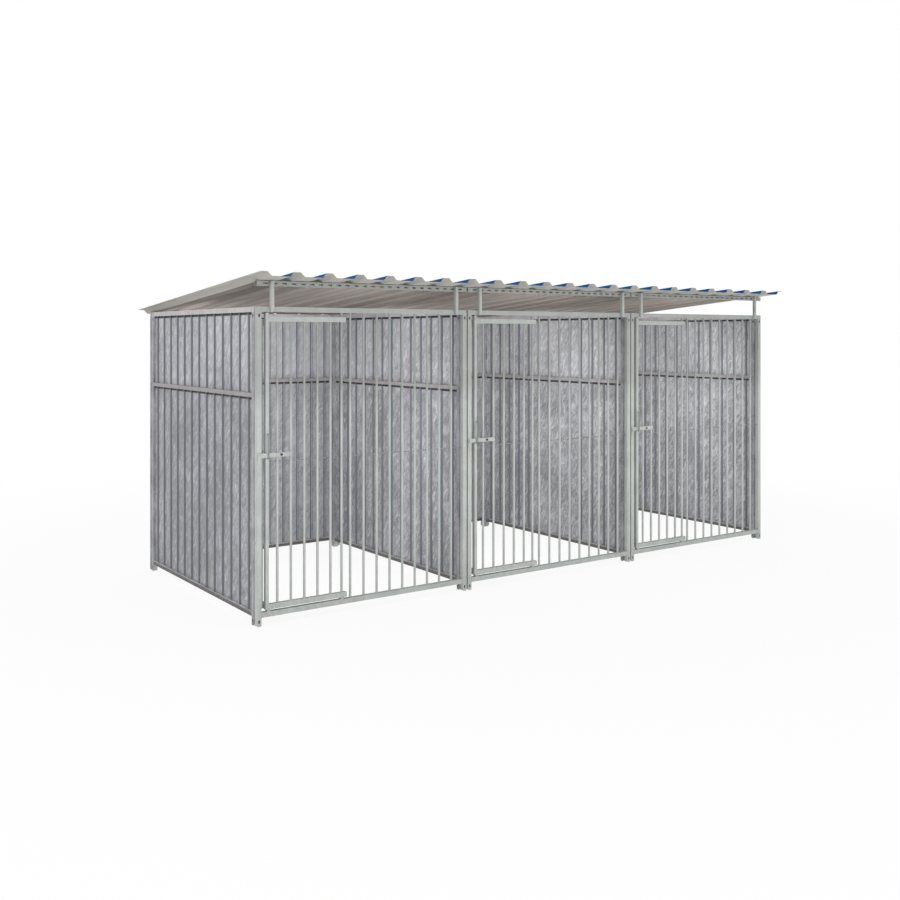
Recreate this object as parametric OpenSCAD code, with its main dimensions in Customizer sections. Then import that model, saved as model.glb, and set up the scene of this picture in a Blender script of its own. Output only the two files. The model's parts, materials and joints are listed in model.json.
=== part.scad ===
// Outdoor dog kennel run: a row of three bays made of bolted, galvanised panels.
// Seen from the front, X runs to the right, Y to the back and Z up from the ground.

/* [Row] */
// Pitch from one bay to the next
bay_pitch = 1500; // [1350:10:1700]
// Depth from the front of the panels to the back of the row
run_depth = 1800; // [1500:10:2400]
// Height of the panels above the ground
panel_h = 1840; // [1760:10:2000]
// Gap between neighbouring panels
panel_gap = 10; // [8:1:14]
// Gap that a weld bead closes between two tubes
weld_gap = 0.2; // [0.1:0.05:0.4]

/* [Frame tubes] */
// Side of the square frame tubes
tube = 30; // [28:1:34]
// Wall of the square frame tubes
tube_wall = 2; // [1.5:0.25:3]
// Height of the bottom rails above the ground
foot_h = 50; // [44:1:60]
// Radius of the rounded corners of the feet
foot_r = 10; // [6:1:12]
// Width of the bolt slots in the posts
slot_w = 10; // [9:0.5:11]
// Length of the bolt slots in the posts
slot_l = 20; // [16:1:24]
// Height of the lower slots above the ground
slot_low = 28; // [24:1:30]
// Distance of the upper slots below the top of the panels
slot_drop = 51; // [48:1:60]

/* [Front bars] */
// Diameter of the round bars
bar_d = 15; // [14:1:18]
// Wall of the round bars
bar_wall = 1.5; // [1:0.25:2.5]
// Distance from the hinge bar to the first fixed bar
fixed_first = 60; // [55:1:70]
// Pitch of the fixed bars
fixed_pitch = 94; // [80:1:100]
// Diameter of the tie rods through the bars
tie_d = 6; // [4:0.5:8]
// Height of the tie rods above the ground
tie_z = 942; // [700:1:955]

/* [Door] */
// Distance from the edge of the bay to the axis of the hinge bar
hinge_x = 567; // [520:1:640]
// Distance from the edge of the bay to the door's stile
stile_x = 62; // [58:1:66]
// Width of the door's stile
stile_w = 20; // [18:1:24]
// Depth of the door's tubes
door_depth = 25; // [24:0.5:28]
// Height of the door's rails
door_rail = 30; // [25:1:40]
// Gap under the door
door_low = 11; // [8:0.5:16]
// Distance of the door's top rail below the frame's top rail
door_drop = 26; // [20:1:40]
// Gap above the door's stile
stile_gap = 4; // [3:0.5:8]
// Distance from the stile to the middle of the first door bar
door_first = 59; // [55:1:65]
// Pitch of the door bars
door_pitch = 87.5; // [82:0.5:95]
// Length of the door's rails past the hinge axis
door_tail = 25; // [20:1:30]
// Radial play of the hinge bar in the door's rails
hinge_play = 0.3; // [0.2:0.05:0.5]
// Diameter of the collar that carries the door
collar_d = 28; // [26:1:30]
// Play between the door and what it rests on
rest_play = 0.3; // [0.2:0.05:0.5]
// Width of the rest under the door's stile
rest_w = 21; // [15:1:25]
// Thickness of the end plugs' caps
plug_cap = 3; // [2:0.5:4]
// Length of the end plugs inside the tubes
plug_depth = 15; // [10:1:20]
// Play of the end plugs in the tubes
plug_play = 0.2; // [0.1:0.05:0.3]
// Thickness of the stop strip behind the latch post
stop_t = 4; // [3:0.5:5]
// Width of the stop strip
stop_w = 34; // [30:1:36]
// Gap between the stop strip and the side of the stile
stop_gap = 5; // [3:0.5:8]
// Height of the lugs on the stop strip
stop_lug = 40; // [30:1:60]
// Overlap of the lugs behind the stile
stop_lap = 6; // [4:0.5:10]

/* [Latch] */
// Height of the middle of the latch bar
latch_z = 982; // [980:1:1100]
// Height of the latch bar
latch_h = 25; // [20:1:30]
// Thickness of the latch bar
latch_t = 5; // [4:0.5:6]
// Distance from the edge of the bay to the free end of the latch bar
latch_end = 7; // [6:1:12]
// Distance from the first door bar to the latch pivot
latch_pivot_x = 17; // [16.5:0.5:24]
// Length of the latch bar past its pivot
latch_tail = 66; // [40:1:75]
// Distance of the push stud from the pivot
stud_x = 47; // [25:1:50]
// Diameter of the push stud
stud_d = 13; // [10:0.5:16]
// Diameter of the pivot bolt
pivot_d = 8; // [6:0.5:8]
// Play of the latch bar on its pivot and in its keepers
latch_play = 0.3; // [0.2:0.05:0.4]
// Thickness of the washer behind the latch bar
washer_t = 1.7; // [1.5:0.1:3]
// Depth of the tab's face behind the face of the frame
tab_face = 1; // [0:0.5:1.5]
// Depth that the tab is let into the first door bar
tab_grip = 2; // [1:0.25:3]
// Length of the tab past the latch pivot
tab_reach = 9; // [8:0.5:14]
// Width of the catch on the latch post
catch_w = 20; // [15:1:22]
// Thickness of the catch
catch_t = 4; // [3:0.5:5]
// Length of the catch's plate below the latch bar
catch_l = 33; // [20:1:40]
// Height of the catch's lip above its ledge
catch_lip = 15; // [10:1:18]
// Room between the latch bar and the catch's lip
catch_room = 1; // [0.5:0.25:2]
// Diameter of the guide rod
guide_d = 8; // [6:0.5:10]
// Height of the guide bow between its legs
guide_h = 139; // [130:1:160]
// Distance of the guide from the inner side of the stile
guide_inset = 7; // [6:0.5:9]
// Room between the latch bar and the guide
guide_room = 2; // [1:0.25:3]

/* [Walls] */
// Height of the walls' middle rails above the ground
mid_z = 1316; // [1100:1:1450]
// Height of the middle rails' tubes
mid_h = 25; // [20:1:30]
// Nominal pitch of the sheets' ribs
wall_pitch = 123; // [110:1:150]
// Width of a wall rib at its top
fold_w = 10; // [6:1:20]
// Width of a wall rib's flank
fold_flank = 7; // [4:0.5:12]
// Height of the wall ribs
fold_d = 8; // [5:0.5:12]
// Thickness of the wall sheets
wall_t = 1; // [0.7:0.1:1.2]
// Depth of the sheets behind the face of their frame
wall_recess = 6; // [4:0.5:10]
// Gap between the sheets and their frames
wall_seat = 0.3; // [0.2:0.05:0.4]

/* [Roof] */
// Height of the roof beams above the front panels
roof_rise = 120; // [100:1:150]
// Side of the roof beams
beam = 30; // [30:1:36]
// Pitch of the punched slots in the beams
punch_pitch = 60; // [50:1:80]
// Length of the punched slots
punch_l = 32; // [20:1:36]
// Width of the punched slots
punch_w = 8; // [6:0.5:12]
// Side of the roof posts
roof_post = 20; // [16:1:25]
// Wall of the roof posts
roof_post_wall = 2; // [1.5:0.25:3]
// Distance of the roof posts from the ends of the beams
roof_post_inset = 81; // [60:1:120]
// Pitch of the roof's ribs
rib_pitch = 207; // [190:1:230]
// Height of the ribs
rib_h = 26; // [20:1:35]
// Width of the ribs at the top
rib_top = 44; // [35:1:55]
// Width of a rib's flank
rib_flank = 24; // [16:1:32]
// Thickness of the roof sheets
roof_t = 1; // [0.7:0.1:1.2]
// Roof's length in front of the row
eave_front = 170; // [80:5:300]
// Roof's length behind the row
eave_back = 100; // [60:5:200]
// Least roof overhang at the sides
eave_side = 45; // [30:1:60]
// Gap between the roof and what carries it, and between lapped sheets
roof_seat = 0.3; // [0.2:0.05:0.4]

/* [Fasteners] */
// Diameter of the panel bolts
bolt_d = 8; // [6:0.5:8]
// Width across corners of the bolt heads and nuts
bolt_head_d = 15; // [13:0.5:15.5]
// Thickness of the bolt heads
bolt_head_t = 5; // [4:0.5:6]
// Length of the bolts past their nuts
bolt_end = 3; // [2:0.5:4]
// Diameter of the spacer sleeves
sleeve_d = 16; // [14:0.5:18]
// Play of the bolts in their holes and at their seats
bolt_play = 0.2; // [0.1:0.05:0.3]
// Height of the lower bolts between neighbouring bays
link_low = 480; // [300:1:700]
// Height of the upper bolts between neighbouring bays
link_high = 1450; // [1400:1:1600]
// Diameter of the roof screws
screw_d = 5.5; // [4.8:0.1:6.3]
// Length of the roof screws below the sheet
screw_l = 22; // [15:1:24]
// Diameter of the screws' sealing washers
seal_d = 16; // [14:0.5:19]
// Thickness of the screws' sealing washers
seal_t = 2.5; // [2:0.25:3]
// Width across corners of the screws' heads
screw_head_d = 9; // [8:0.5:10]
// Thickness of the screws' heads
screw_head_t = 5; // [4:0.5:6]

/* [Hidden] */
$fn = 48;
bays = 3;
past = 1;
zinc = "#b9bfbc";
sheet_zinc = "#a5a5aa";
dark = "#2e2e2e";
roof_blue = "#1a60aa";

// Row and panels
row_w = bays * bay_pitch;
panel_w = bay_pitch - panel_gap;
panel_x = panel_gap / 2;
side_y = tube + panel_gap;
side_l = run_depth - 2 * side_y;
back_y = run_depth - tube;
slot_high = panel_h - slot_drop;
rail_low = foot_h + tube;
rail_high = panel_h - tube;
right_post = panel_x + panel_w - tube;
bar_y = tube / 2;

// Fixed bars, counted from the room between the hinge bar and the right post
fixed_x = hinge_x + fixed_first;
fixed_n = 1 + floor((right_post - fixed_x - bar_d) / fixed_pitch);

// Door
door_y = (tube - door_depth) / 2;
door_z = rail_low + door_low;
door_top = rail_high - door_drop;
stile_top = rail_high - stile_gap;
stile_in = stile_x + stile_w;
door_x = stile_in + door_first;
door_n = 1 + floor((hinge_x - door_x - bar_d) / door_pitch);
hinge_bore = bar_d + 2 * hinge_play;

// Latch
pivot_x = door_x + latch_pivot_x;
latch_back = tab_face - washer_t - latch_play;
latch_front = latch_back - latch_t;
latch_low = latch_z - latch_h / 2;
tab_back = bar_y - bar_d / 2 + tab_grip;
guide_y = latch_front - guide_room - guide_d / 2;
guide_low = latch_low - guide_room - guide_d / 2;

// Roof, laid on the rear upper edges of the beams and of the back panels
beam_z = panel_h + roof_rise;
beam_top = beam_z + beam;
roof_angle = atan2(beam_top - panel_h, run_depth - beam);
roof_span = norm([beam_top - panel_h, run_depth - beam]);
roof_front = -(eave_front + beam) / cos(roof_angle);
roof_back = roof_span + eave_back / cos(roof_angle);
rib_half = ceil((row_w / 2 + eave_side - rib_top / 2) / rib_pitch);
rib_n = 2 * rib_half + 1;
lap_rib = floor(rib_n / 3);
lap_lift = roof_t + roof_seat;
roof_w_max = roof_seat + rib_h + lap_lift + roof_t;

// Middle of the part along Y, from the roof's front and back edges
edge_front = beam + roof_front * cos(roof_angle) + roof_seat * sin(roof_angle);
edge_back = beam + roof_back * cos(roof_angle) + roof_w_max * sin(roof_angle);
centre_y = (edge_front + edge_back) / 2;

function bay_x(k) = (k - 1) * bay_pitch;
function rib_x(i) = row_w / 2 + (i - rib_half) * rib_pitch;
function joint_gap(x) = min([for (k = [0 : bays]) abs(x - k * bay_pitch)]);
wall_xs = concat([panel_x], [for (k = [1 : bays]) bay_x(k) + right_post]);
screw_xs = [
    for (i = [0 : 2 : rib_n - 2])
        let (x = rib_x(i) + rib_pitch / 2)
        if (joint_gap(x) > tube + panel_gap + screw_d) x
];
screw_us = [-beam / 2 / cos(roof_angle), roof_span - tube / 2 / cos(roof_angle)];

// Shared shapes

module in_row() {
    translate([-row_w / 2, -centre_y, 0]) children();
}

module in_bay(k) {
    in_row() translate([bay_x(k), 0, 0]) children();
}

// A closed stadium, long along Y
module stadium(w, l) {
    square([w, l - w], center = true);
    for (side = [-1, 1])
        translate([0, side * (l - w) / 2]) circle(d = w);
}

// A rectangular tube along X, open at both ends
module tube_x(x0, x1, y, z, depth, height) {
    difference() {
        translate([x0, y, z]) cube([x1 - x0, depth, height]);
        translate([x0 - past, y + tube_wall, z + tube_wall])
            cube([x1 - x0 + 2 * past, depth - 2 * tube_wall, height - 2 * tube_wall]);
    }
}

// A rectangular tube along Z, open at both ends
module tube_z(x, y, z0, z1, width, depth) {
    difference() {
        translate([x, y, z0]) cube([width, depth, z1 - z0]);
        translate([x + tube_wall, y + tube_wall, z0 - past])
            cube([width - 2 * tube_wall, depth - 2 * tube_wall, z1 - z0 + 2 * past]);
    }
}

// A round tube along Z
module bar_z(x, z0, z1) {
    translate([x, bar_y, z0]) difference() {
        cylinder(d = bar_d, h = z1 - z0);
        translate([0, 0, -past]) cylinder(d = bar_d - 2 * bar_wall, h = z1 - z0 + 2 * past);
    }
}

module tie_rod(x0, x1) {
    translate([x0, bar_y, tie_z]) rotate([0, 90, 0]) cylinder(d = tie_d, h = x1 - x0);
}

// What is cut from the left lower corner of a foot
module foot_corner() {
    difference() {
        translate([-past, -past, -past]) cube([foot_r + past, tube + 2 * past, foot_r + past]);
        translate([foot_r, -2 * past, foot_r]) rotate([-90, 0, 0])
            cylinder(r = foot_r, h = tube + 4 * past);
    }
}

// A panel's post, closed at the top, with its rounded foot and its bolt slots.
// link is the side with the bolt holes, -1 or 1, and link_zs are their heights.
module post(x, link, link_zs) {
    difference() {
        translate([x, 0, 0]) cube([tube, tube, panel_h]);
        translate([x + tube_wall, tube_wall, -past])
            cube([tube - 2 * tube_wall, tube - 2 * tube_wall, panel_h - tube_wall + past]);
        translate([x, 0, 0]) foot_corner();
        translate([x + tube, 0, 0]) mirror([1, 0, 0]) foot_corner();
        for (z = [slot_low, slot_high])
            translate([x + tube / 2, -past, z]) rotate([-90, 0, 0])
                linear_extrude(tube + 2 * past) stadium(slot_w, slot_l);
        for (z = link_zs)
            translate([x + tube / 2, tube / 2, z]) rotate([0, link * 90, 0])
                cylinder(d = bolt_d + 2 * bolt_play, h = tube);
    }
}

// The four outer tubes of a panel that lies along X
module panel_tubes(length, link_zs) {
    x0 = tube + weld_gap;
    x1 = length - tube - weld_gap;
    post(0, -1, link_zs);
    post(length - tube, 1, link_zs);
    tube_x(x0, x1, 0, foot_h, tube, tube);
    tube_x(x0, x1, 0, rail_high, tube, tube);
}

// A wall's frame has a middle rail between its two sheets
module wall_tubes(length, link_zs) {
    panel_tubes(length, link_zs);
    tube_x(tube + weld_gap, length - tube - weld_gap, 0, mid_z, tube, mid_h);
}

// One ribbed sheet's section: narrow ribs that stand out to y = 0 from flats at y = fold_d
module wall_section(length) {
    n = round(length / wall_pitch);
    step = length / n;
    half = fold_w / 2;
    folds = [
        for (i = [0 : n - 1])
            let (x = (i + 0.5) * step)
            each [
                [x - half - fold_flank, fold_d],
                [x - half, 0],
                [x + half, 0],
                [x + half + fold_flank, fold_d]
            ]
    ];
    face = concat([[0, fold_d]], folds, [[length, fold_d]]);
    last = len(face) - 1;
    polygon(concat(face, [for (i = [last : -1 : 0]) face[i] + [0, wall_t]]));
}

// The upper and the lower sheet of a wall that lies along X, ribs towards -Y
module wall_sheets(length) {
    inside = length - 2 * tube - 2 * wall_seat;
    spans = [[rail_low, mid_z], [mid_z + mid_h, rail_high]];
    for (span = spans)
        translate([tube + wall_seat, wall_recess, span[0] + wall_seat])
            linear_extrude(span[1] - span[0] - 2 * wall_seat) wall_section(inside);
}

// Turns a panel that lies along X so that it runs back from x, with its face to the left
module side_wall(x) {
    in_row() translate([x, side_y + side_l, 0]) rotate([0, 0, -90]) children();
}

// The roof's own frame: Y runs down the slope and Z stands on the sheet
module on_roof() {
    in_row() translate([0, beam, beam_top]) rotate([-roof_angle, 0, 0]) children();
}

// Puts a copy at each roof screw, with Z = 0 at the sheet's upper face
module at_screws() {
    for (x = screw_xs)
        for (u = screw_us)
            on_roof() translate([x, u, roof_seat + roof_t]) children();
}

module screw_holes() {
    at_screws() translate([0, 0, -screw_l])
        cylinder(d = screw_d + 2 * bolt_play, h = screw_l + past);
}

// Front panels

module front_frame(k) {
    color(zinc) in_bay(k) translate([panel_x, 0, 0])
        panel_tubes(panel_w, [link_low, link_high]);
}

module front_grille(k) {
    color(zinc) in_bay(k) {
        for (i = [0 : fixed_n - 1])
            bar_z(fixed_x + i * fixed_pitch, rail_low + weld_gap, rail_high - weld_gap);
        tie_rod(fixed_x, right_post - weld_gap);
    }
}

module hinge_bar(k) {
    color(zinc) in_bay(k) {
        bar_z(hinge_x, rail_low + weld_gap, rail_high - weld_gap);
        translate([hinge_x, bar_y, rail_low + weld_gap]) difference() {
            cylinder(d = collar_d, h = door_low - weld_gap - rest_play);
            translate([0, 0, -past]) cylinder(d = bar_d - bar_wall, h = door_low + past);
        }
    }
}

// A strip behind the latch post, whose lugs reach behind the stile
module door_stop(k) {
    z0 = rail_low + tube / 2;
    z1 = slot_high - slot_l;
    edge = stile_x - stop_gap;
    color(zinc) in_bay(k) {
        translate([edge - stop_w, tube, z0]) cube([stop_w, stop_t, z1 - z0]);
        for (z = [z0, (z0 + z1 - stop_lug) / 2, z1 - stop_lug])
            translate([edge - stop_w, tube, z]) cube([stop_w + stop_gap + stop_lap, stop_t, stop_lug]);
    }
}

module latch_catch(k) {
    ledge = latch_low - latch_play;
    lip = latch_front - catch_room;
    color(zinc) in_bay(k) translate([panel_x + (tube - catch_w) / 2, 0, 0])
        rotate([90, 0, 90]) linear_extrude(catch_w) polygon([
            [0, ledge],
            [0, ledge - catch_l],
            [-catch_t, ledge - catch_l],
            [-catch_t, ledge - catch_t],
            [lip - catch_t, ledge - catch_t],
            [lip - catch_t, ledge + catch_lip],
            [lip, ledge + catch_lip],
            [lip, ledge]
        ]);
}

module door_rests() {
    for (k = [1 : bays])
        color(zinc) in_bay(k) translate([stile_in - rest_w / 2, door_y, rail_low])
            cube([rest_w, door_depth, door_low - rest_play]);
}

// Doors

module door_rail_tube(z) {
    difference() {
        tube_x(stile_in + weld_gap, hinge_x + door_tail, door_y, z, door_depth, door_rail);
        translate([hinge_x, bar_y, z - past]) cylinder(d = hinge_bore, h = door_rail + 2 * past);
    }
}

module door_frame(k) {
    color(zinc) in_bay(k) {
        tube_z(stile_x, door_y, door_z, stile_top, stile_w, door_depth);
        door_rail_tube(door_z);
        door_rail_tube(door_top - door_rail);
    }
}

// The tab is welded to the first bar and carries the latch's pivot bolt
module latch_tab() {
    difference() {
        translate([door_x, tab_face, latch_z - latch_h / 2])
            cube([latch_pivot_x + tab_reach, tab_back - tab_face, latch_h]);
        translate([pivot_x, tab_face - past, latch_z]) rotate([-90, 0, 0])
            cylinder(d = pivot_d + 2 * bolt_play, h = tab_back - tab_face + 2 * past);
        translate([door_x, bar_y, latch_z - latch_h]) cylinder(d = bar_d - bar_wall, h = 2 * latch_h);
    }
}

module door_grille(k) {
    z0 = door_z + door_rail + weld_gap;
    z1 = door_top - door_rail - weld_gap;
    color(zinc) in_bay(k) {
        for (i = [0 : door_n - 1])
            bar_z(door_x + i * door_pitch, z0, z1);
        tie_rod(stile_in + weld_gap, door_x + (door_n - 1) * door_pitch);
        latch_tab();
    }
}

// A plug that closes the end of a tube: its cap lies at Z = 0 to plug_cap
module plug(w, d) {
    fit = tube_wall + plug_play;
    cube([w, d, plug_cap]);
    translate([fit, fit, -plug_depth]) cube([w - 2 * fit, d - 2 * fit, plug_depth]);
}

module door_plugs(k) {
    tail = hinge_x + door_tail;
    color(dark) in_bay(k) {
        for (z = [door_z, door_top - door_rail])
            translate([tail, door_y, z + door_rail]) rotate([0, 90, 0]) plug(door_rail, door_depth);
        translate([stile_x, door_y, stile_top]) plug(stile_w, door_depth);
    }
}

// A bow of round rod that keeps the latch bar on the stile
module latch_guide(k) {
    leg = door_y - weld_gap - guide_y - guide_d;
    color(zinc) in_bay(k) translate([stile_in - guide_inset, guide_y, guide_low]) {
        translate([0, 0, guide_d]) cylinder(d = guide_d, h = guide_h - 2 * guide_d);
        for (end = [0, 1])
            translate([0, 0, end * guide_h]) mirror([0, 0, end]) {
                translate([0, guide_d, guide_d]) rotate([0, 90, 0]) rotate([0, 0, -90])
                    rotate_extrude(angle = 90) guide_bend();
                translate([0, guide_d, 0]) rotate([-90, 0, 0]) cylinder(d = guide_d, h = leg);
            }
    }
}

module guide_bend() {
    translate([guide_d, 0]) circle(d = guide_d);
}

module latch_pivot(k) {
    head = latch_front - latch_play;
    nut = tab_back + weld_gap;
    color(dark) in_bay(k) translate([pivot_x, 0, latch_z]) rotate([-90, 0, 0]) {
        translate([0, 0, head - bolt_head_t]) cylinder(d = bolt_head_d, h = bolt_head_t, $fn = 6);
        translate([0, 0, head - past]) cylinder(d = pivot_d, h = nut + bolt_head_t + bolt_end - head);
        translate([0, 0, tab_face - weld_gap - washer_t])
            cylinder(d = 2 * pivot_d, h = washer_t);
        translate([0, 0, nut]) cylinder(d = bolt_head_d, h = bolt_head_t, $fn = 6);
    }
}

module latch_bar(k) {
    x1 = pivot_x + latch_tail;
    round_r = latch_h / 4;
    color(zinc) in_bay(k) difference() {
        union() {
            translate([0, latch_back, latch_low]) rotate([90, 0, 0]) linear_extrude(latch_t) {
                translate([latch_end, 0]) square([x1 - latch_end - round_r, latch_h]);
                translate([latch_end, round_r]) square([x1 - latch_end, latch_h - 2 * round_r]);
                for (z = [round_r, latch_h - round_r])
                    translate([x1 - round_r, z]) circle(r = round_r);
            }
            translate([pivot_x + stud_x, latch_front, latch_z]) rotate([90, 0, 0]) {
                cylinder(d = stud_d, h = 2);
                translate([0, 0, 2]) cylinder(d1 = stud_d, d2 = stud_d / 2, h = 2);
            }
        }
        translate([pivot_x, latch_front - past, latch_z]) rotate([-90, 0, 0])
            cylinder(d = pivot_d + 2 * latch_play, h = latch_t + 2 * past);
    }
}

// Walls

module back_frame(k) {
    color(zinc) difference() {
        in_bay(k) translate([panel_x, back_y, 0]) wall_tubes(panel_w, [link_low, link_high]);
        screw_holes();
    }
}

module back_sheets(k) {
    color(sheet_zinc) in_bay(k) translate([panel_x, back_y, 0]) wall_sheets(panel_w);
}

module side_frame(i) {
    color(zinc) side_wall(wall_xs[i]) wall_tubes(side_l, [slot_low, slot_high]);
}

module side_sheets(i) {
    color(sheet_zinc) side_wall(wall_xs[i]) wall_sheets(side_l);
}

// Roof

module roof_beam(k) {
    n = floor((panel_w - punch_l) / punch_pitch);
    first = (panel_w - (n - 1) * punch_pitch) / 2;
    color(zinc) difference() {
        in_bay(k) difference() {
            tube_x(panel_x, panel_x + panel_w, 0, beam_z, beam, beam);
            for (i = [0 : n - 1])
                translate([panel_x + first + i * punch_pitch, -past, beam_z + beam / 2])
                    rotate([-90, 0, 0]) linear_extrude(beam + 2 * past)
                        rotate(90) stadium(punch_w, punch_l);
        }
        screw_holes();
    }
}

module roof_posts(k) {
    x0 = panel_x + roof_post_inset;
    x1 = panel_x + panel_w - roof_post_inset - roof_post;
    color(zinc) in_bay(k)
        for (x = [x0, x1])
            difference() {
                translate([x, -roof_post, rail_high]) cube([roof_post, roof_post, beam_top - rail_high]);
                translate([x + roof_post_wall, roof_post_wall - roof_post, rail_high - past])
                    cube([
                        roof_post - 2 * roof_post_wall,
                        roof_post - 2 * roof_post_wall,
                        beam_top - rail_high + 2 * past
                    ]);
            }
}

// One roof sheet's section from rib a to rib b, which end on the tops of those ribs.
// lift raises the two end ribs where the sheet laps over its neighbours.
module roof_section(a, b, lift) {
    half = rib_top / 2;
    start = [
        [rib_x(a) - half, rib_h + lift],
        [rib_x(a) + half, rib_h + lift],
        [rib_x(a) + half + rib_flank, 0]
    ];
    ribs = [
        for (i = [a + 1 : b - 1])
            each [
                [rib_x(i) - half - rib_flank, 0],
                [rib_x(i) - half, rib_h],
                [rib_x(i) + half, rib_h],
                [rib_x(i) + half + rib_flank, 0]
            ]
    ];
    end = [
        [rib_x(b) - half - rib_flank, 0],
        [rib_x(b) - half, rib_h + lift],
        [rib_x(b) + half, rib_h + lift]
    ];
    face = concat(start, ribs, end);
    last = len(face) - 1;
    polygon(concat(face, [for (i = [last : -1 : 0]) face[i] + [0, roof_t]]));
}

module roof_sheet(k) {
    edges = [0, lap_rib, rib_n - 1 - lap_rib, rib_n - 1];
    lift = k == 2 ? lap_lift : 0;
    color(roof_blue) difference() {
        on_roof() translate([0, roof_back, roof_seat]) rotate([90, 0, 0])
            linear_extrude(roof_back - roof_front) roof_section(edges[k - 1], edges[k], lift);
        screw_holes();
    }
}

// Fasteners

// A bolt along X with its nut and, in the gap between two panels, its spacer sleeve
module panel_bolt() {
    seat = panel_gap / 2 + tube_wall + bolt_play;
    sleeve = panel_gap - 2 * bolt_play;
    rotate([0, 90, 0]) {
        translate([0, 0, -seat - bolt_head_t]) cylinder(d = bolt_head_d, h = bolt_head_t, $fn = 6);
        translate([0, 0, -seat - past]) cylinder(d = bolt_d, h = 2 * seat + bolt_head_t + bolt_end + past);
        translate([0, 0, -sleeve / 2]) cylinder(d = sleeve_d, h = sleeve);
        translate([0, 0, seat]) cylinder(d = bolt_head_d, h = bolt_head_t, $fn = 6);
    }
}

module panel_bolts() {
    side_ys = [tube + panel_gap / 2, back_y - panel_gap / 2];
    color(zinc) in_row() {
        for (x = wall_xs, i = [0, 1], z = [slot_low, slot_high])
            translate([x + tube / 2, side_ys[i], z]) rotate([0, 0, 90 - 180 * i]) panel_bolt();
        for (k = [1 : bays - 1], y = [bar_y, back_y + bar_y], z = [link_low, link_high])
            translate([k * bay_pitch, y, z]) panel_bolt();
    }
}

module roof_screws() {
    color(zinc) at_screws() {
        translate([0, 0, -screw_l]) cylinder(d = screw_d, h = screw_l + seal_t);
        translate([0, 0, bolt_play]) cylinder(d = seal_d, h = seal_t);
        translate([0, 0, bolt_play + seal_t]) cylinder(d = screw_head_d, h = screw_head_t, $fn = 6);
    }
}

front_frame(1);  // front_frame_1
front_frame(2);  // front_frame_2
front_frame(3);  // front_frame_3
front_grille(1);  // front_grille_1
front_grille(2);  // front_grille_2
front_grille(3);  // front_grille_3
hinge_bar(1);  // hinge_bar_1
hinge_bar(2);  // hinge_bar_2
hinge_bar(3);  // hinge_bar_3
door_stop(1);  // door_stop_1
door_stop(2);  // door_stop_2
door_stop(3);  // door_stop_3
latch_catch(1);  // latch_catch_1
latch_catch(2);  // latch_catch_2
latch_catch(3);  // latch_catch_3
door_frame(1);  // door_frame_1
door_frame(2);  // door_frame_2
door_frame(3);  // door_frame_3
door_grille(1);  // door_grille_1
door_grille(2);  // door_grille_2
door_grille(3);  // door_grille_3
door_plugs(1);  // door_plugs_1
door_plugs(2);  // door_plugs_2
door_plugs(3);  // door_plugs_3
latch_guide(1);  // latch_guide_1
latch_guide(2);  // latch_guide_2
latch_guide(3);  // latch_guide_3
latch_pivot(1);  // latch_pivot_1
latch_pivot(2);  // latch_pivot_2
latch_pivot(3);  // latch_pivot_3
latch_bar(1);  // latch_bar_1
latch_bar(2);  // latch_bar_2
latch_bar(3);  // latch_bar_3
roof_beam(1);  // roof_beam_1
roof_beam(2);  // roof_beam_2
roof_beam(3);  // roof_beam_3
roof_posts(1);  // roof_posts_1
roof_posts(2);  // roof_posts_2
roof_posts(3);  // roof_posts_3
roof_sheet(1);  // roof_sheet_1
roof_sheet(2);  // roof_sheet_2
roof_sheet(3);  // roof_sheet_3
back_frame(1);  // back_frame_1
back_frame(2);  // back_frame_2
back_frame(3);  // back_frame_3
back_sheets(1);  // back_sheets_1
back_sheets(2);  // back_sheets_2
back_sheets(3);  // back_sheets_3
side_frame(0);  // side_frame_left
side_frame(3);  // side_frame_right
side_sheets(0);  // side_sheets_left
side_sheets(3);  // side_sheets_right
side_frame(1);  // partition_frame_1
side_frame(2);  // partition_frame_2
side_sheets(1);  // partition_sheets_1
side_sheets(2);  // partition_sheets_2
door_rests();
panel_bolts();
roof_screws();
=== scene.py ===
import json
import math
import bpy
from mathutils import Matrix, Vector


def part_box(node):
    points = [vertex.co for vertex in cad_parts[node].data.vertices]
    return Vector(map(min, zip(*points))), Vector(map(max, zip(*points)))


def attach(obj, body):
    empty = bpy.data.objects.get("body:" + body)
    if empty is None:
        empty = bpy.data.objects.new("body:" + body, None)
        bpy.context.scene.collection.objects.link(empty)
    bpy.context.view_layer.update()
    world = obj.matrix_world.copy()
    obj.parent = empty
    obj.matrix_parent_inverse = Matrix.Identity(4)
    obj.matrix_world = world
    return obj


bl_info = {
    "name": "Dog Kennel Run",
    "version": (1, 0, 0),
    "blender": (4, 5, 0),
    "location": "View3D > Sidebar > Kennel",
    "description": "Finishes, welds and stage for a row of dog kennel bays",
    "category": "Object",
}

import bpy

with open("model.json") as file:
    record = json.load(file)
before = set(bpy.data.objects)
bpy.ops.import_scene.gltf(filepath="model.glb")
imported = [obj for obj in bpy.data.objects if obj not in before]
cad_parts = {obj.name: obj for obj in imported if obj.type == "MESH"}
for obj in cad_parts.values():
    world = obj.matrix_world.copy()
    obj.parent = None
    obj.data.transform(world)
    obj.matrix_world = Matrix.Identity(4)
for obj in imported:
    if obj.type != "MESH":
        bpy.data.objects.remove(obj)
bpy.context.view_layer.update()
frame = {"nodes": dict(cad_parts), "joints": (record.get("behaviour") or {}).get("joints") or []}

X, Y, Z = 0, 1, 2
BAYS = (1, 2, 3)
SIDE_WALLS = (("side", "left"), ("partition", "1"), ("partition", "2"), ("side", "right"))
HINGES = {joint["child"]: joint["pos_m"] for joint in frame["joints"]}


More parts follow.
